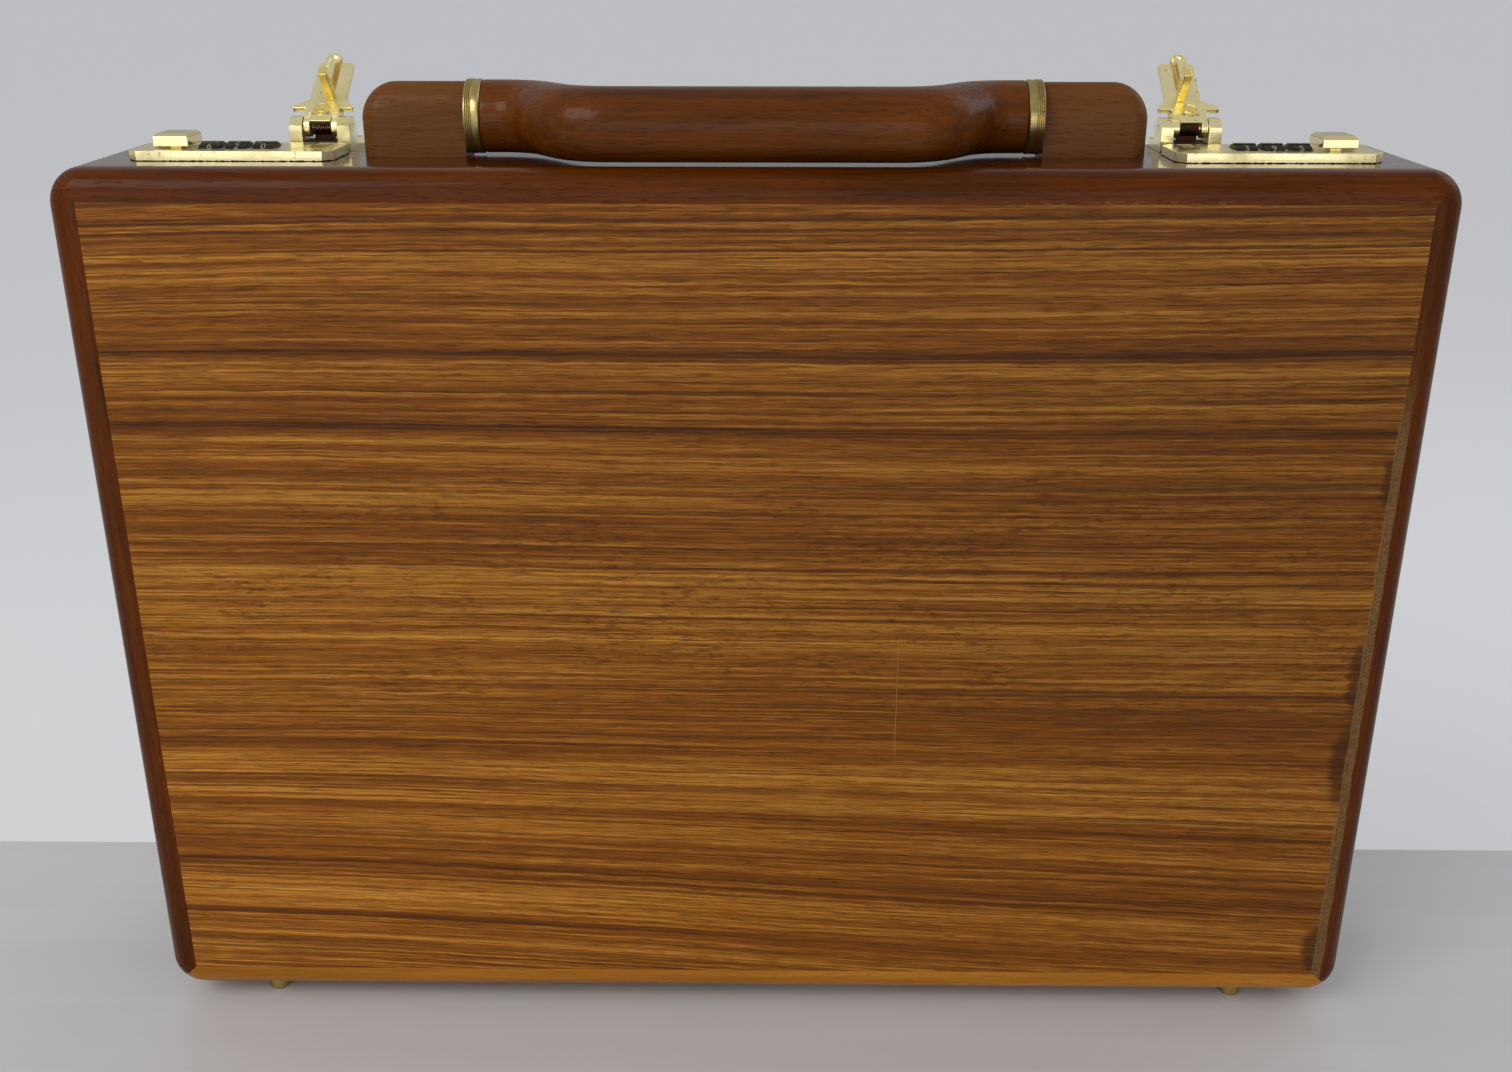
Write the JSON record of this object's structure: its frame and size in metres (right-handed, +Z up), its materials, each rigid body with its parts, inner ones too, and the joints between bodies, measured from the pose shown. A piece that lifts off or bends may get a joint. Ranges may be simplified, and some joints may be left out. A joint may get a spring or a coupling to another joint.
{
  "type": "wooden briefcase",
  "caption": "Rigid wooden attache case with inset veneered panels, brass combination locks, sprung hasps and a folding wooden handle.",
  "frame": {"origin": "middle of the standing case's footprint, on the plane of its feet", "axes": "+X along the case's width to the right as seen from the base's face, +Y from the base's face to the lid's, +Z up, with the case standing on its feet"},
  "size_m": [0.45, 0.076, 0.349],
  "materials": {
    "frame_wood": "gloss",
    "handle_wood": "gloss",
    "veneer": "satin",
    "plywood": "matte",
    "brass": "polished",
    "steel": "satin",
    "dial": "satin",
    "lining": "matte"
  },
  "bodies": {
    "base": {"base_top_rail": "frame_wood", "base_bottom_rail": "frame_wood", "base_left_rail": "frame_wood", "base_right_rail": "frame_wood", "base_panel": "plywood", "base_veneer": "veneer", "base_lining": "lining", "base_feet": "brass", "hinge_leaf_base": "brass", "hinge_pin": "steel", "hinge_screws_base": "brass", "handle_block_left": "handle_wood", "handle_block_right": "handle_wood", "handle_pins": "steel", "handle_screws": "brass", "lock_plate_left": "brass", "lock_plate_right": "brass", "lock_case_left": "steel", "lock_case_right": "steel", "dial_shafts": "steel", "lock_screws": "steel", "stay_pivots_base": "brass"},
    "lid": {"lid_top_rail": "frame_wood", "lid_bottom_rail": "frame_wood", "lid_left_rail": "frame_wood", "lid_right_rail": "frame_wood", "lid_panel": "plywood", "lid_veneer": "veneer", "lid_lining": "lining", "lid_feet": "brass", "hinge_leaf_lid": "brass", "hinge_screws_lid": "brass", "hasp_bracket_left": "brass", "hasp_bracket_right": "brass", "hasp_pins": "brass", "hasp_springs": "steel", "bracket_screws": "brass", "stay_pivots_lid": "brass"},
    "handle": {"handle_grip": "handle_wood", "ferrule_left": "brass", "ferrule_right": "brass"},
    "hasp_left": {"hasp_left": "brass", "hook_left": "steel"},
    "hasp_right": {"hasp_right": "brass", "hook_right": "steel"},
    "button_left": {"lock_button_left": "brass", "lock_bolt_left": "steel"},
    "button_right": {"lock_button_right": "brass", "lock_bolt_right": "steel"},
    "stay_upper": {"stay_arms_upper": "brass"},
    "stay_lower": {"stay_arms_lower": "brass"},
    "dial_left_1": {"dial_left_1": "dial"},
    "dial_left_2": {"dial_left_2": "dial"},
    "dial_left_3": {"dial_left_3": "dial"},
    "dial_right_1": {"dial_right_1": "dial"},
    "dial_right_2": {"dial_right_2": "dial"},
    "dial_right_3": {"dial_right_3": "dial"}
  },
  "joints": [
    {"name": "lid_hinge", "type": "hinge", "parent": "base", "child": "lid", "pos_m": [0, 0.006, 0.0042], "axis": [-1, 0, 0], "range_deg": [0, 100]},
    {"name": "handle_swing", "type": "hinge", "parent": "base", "child": "handle", "pos_m": [0, -0.0013, 0.3315], "axis": [-1, 0, 0], "range_deg": [0, 180]},
    {"name": "hasp_left_swing", "type": "hinge", "parent": "lid", "child": "hasp_left", "pos_m": [-0.1475, 0.0115, 0.3265], "axis": [1, 0, 0], "range_deg": [0, 144], "stiffness_Nm_per_rad": 0.01, "springref_deg": -17.19},
    {"name": "hasp_right_swing", "type": "hinge", "parent": "lid", "child": "hasp_right", "pos_m": [0.1475, 0.0115, 0.3265], "axis": [1, 0, 0], "range_deg": [0, 144], "stiffness_Nm_per_rad": 0.01, "springref_deg": -17.19},
    {"name": "button_left_slide", "type": "slide", "parent": "base", "child": "button_left", "axis": [-1, 0, 0], "range_m": [0, 0.0045], "stiffness_N_per_m": 200, "springref_m": -0.002},
    {"name": "button_right_slide", "type": "slide", "parent": "base", "child": "button_right", "axis": [1, 0, 0], "range_m": [0, 0.0045], "stiffness_N_per_m": 200, "springref_m": -0.002},
    {"name": "dial_left_1_turn", "type": "hinge", "parent": "base", "child": "dial_left_1", "pos_m": [-0.1789, -0.0078, 0.3175], "axis": [1, 0, 0], "continuous": true},
    {"name": "dial_left_2_turn", "type": "hinge", "parent": "base", "child": "dial_left_2", "pos_m": [-0.17, -0.0078, 0.3175], "axis": [1, 0, 0], "continuous": true},
    {"name": "dial_left_3_turn", "type": "hinge", "parent": "base", "child": "dial_left_3", "pos_m": [-0.1611, -0.0078, 0.3175], "axis": [1, 0, 0], "continuous": true},
    {"name": "dial_right_1_turn", "type": "hinge", "parent": "base", "child": "dial_right_1", "pos_m": [0.1611, -0.0078, 0.3175], "axis": [1, 0, 0], "continuous": true},
    {"name": "dial_right_2_turn", "type": "hinge", "parent": "base", "child": "dial_right_2", "pos_m": [0.17, -0.0078, 0.3175], "axis": [1, 0, 0], "continuous": true},
    {"name": "dial_right_3_turn", "type": "hinge", "parent": "base", "child": "dial_right_3", "pos_m": [0.1789, -0.0078, 0.3175], "axis": [1, 0, 0], "continuous": true},
    {"name": "stay_lower_swing", "type": "hinge", "parent": "base", "child": "stay_lower", "pos_m": [0, -0.004, 0.11374], "axis": [-1, 0, 0], "range_deg": [0, 100]},
    {"name": "stay_upper_swing", "type": "hinge", "parent": "lid", "child": "stay_upper", "pos_m": [0, 0.016, 0.11374], "axis": [-1, 0, 0], "range_deg": [-100, 0]}
  ],
  "couplings": [
    {"joint": "stay_lower_swing", "follows": "lid_hinge", "ratio": 1},
    {"joint": "stay_upper_swing", "follows": "lid_hinge", "ratio": -1}
  ]
}
